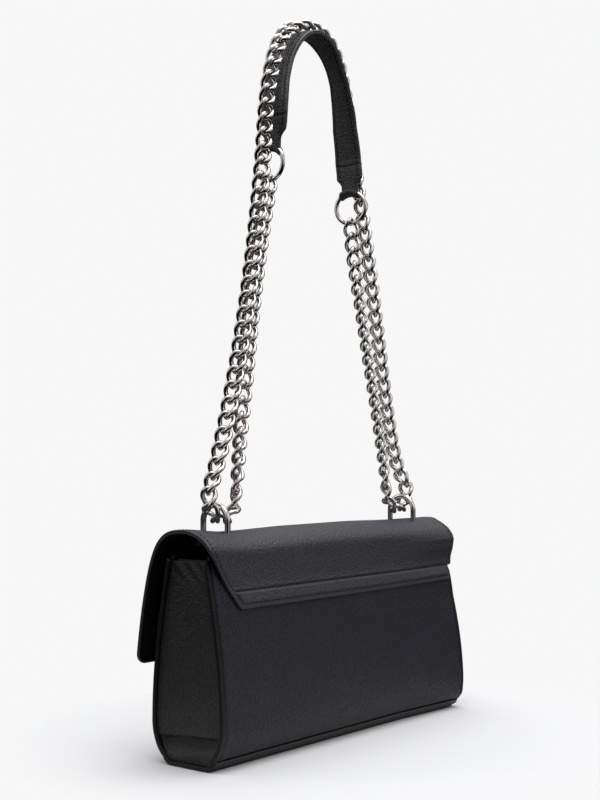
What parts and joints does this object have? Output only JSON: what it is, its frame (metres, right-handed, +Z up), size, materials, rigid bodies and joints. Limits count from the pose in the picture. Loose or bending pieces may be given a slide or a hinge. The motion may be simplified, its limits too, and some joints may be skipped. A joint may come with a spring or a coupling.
{
  "type": "shoulder bag",
  "caption": "Slim leather flap bag with a doubled curb-chain strap that runs through upright loops to a leather shoulder pad; the flap opens backwards.",
  "frame": {"origin": "middle of the base's underside, where the bag stands", "axes": "+X along the bag's length to the right as seen from the front, +Y towards the back, +Z up along the strap"},
  "size_m": [0.274, 0.0697, 0.4936],
  "materials": {
    "leather": "fine pebbled grain, soft sheen",
    "gusset_leather": "fine pebbled grain, soft sheen",
    "edge_leather": "smooth, turned edge",
    "base_leather": "fine pebbled grain",
    "flap_lining_leather": "matt",
    "pad_leather": "fine grain, stitched edges",
    "lining_cloth": "woven",
    "board": "pressed fibre board",
    "metal": "polished nickel"
  },
  "bodies": {
    "bag": {"back_panel": "leather", "front_panel": "leather", "base_panel": "base_leather", "base_board": "board", "gusset_left": "gusset_leather", "gusset_right": "gusset_leather", "end_binding_left": "edge_leather", "end_binding_right": "edge_leather", "lining": "lining_cloth", "slip_pocket": "lining_cloth", "yoke": "leather", "yoke_band": "leather", "magnet_socket": "metal"},
    "flap": {"flap_leather": "leather", "flap_lining": "flap_lining_leather", "magnet_stud": "metal", "strap_loop_left": "metal", "strap_loop_right": "metal", "loop_plate_left": "metal", "loop_plate_right": "metal"},
    "strap": {"chain_outer_left": "metal", "chain_outer_right": "metal", "chain_inner_left": "metal", "chain_inner_right": "metal"},
    "shoulder_pad": {"ring_left": "metal", "ring_right": "metal", "pad_face": "pad_leather", "pad_backing": "pad_leather", "pad_tab_left": "pad_leather", "pad_tab_right": "pad_leather"}
  },
  "joints": [
    {"name": "flap_hinge", "type": "hinge", "parent": "bag", "child": "flap", "pos_m": [0, 0.0225, 0.13], "axis": [-1, 0, 0], "range_deg": [0, 100]},
    {"name": "strap_swing", "type": "hinge", "parent": "flap", "child": "strap", "pos_m": [0, -0.0041, 0.1479], "axis": [-1, 0, 0], "range_deg": [-45, 45]},
    {"name": "pad_swing", "type": "hinge", "parent": "strap", "child": "shoulder_pad", "pos_m": [0, -0.0071, 0.3659], "axis": [-0.983, 0, -0.1836], "range_deg": [-18, 18]}
  ]
}
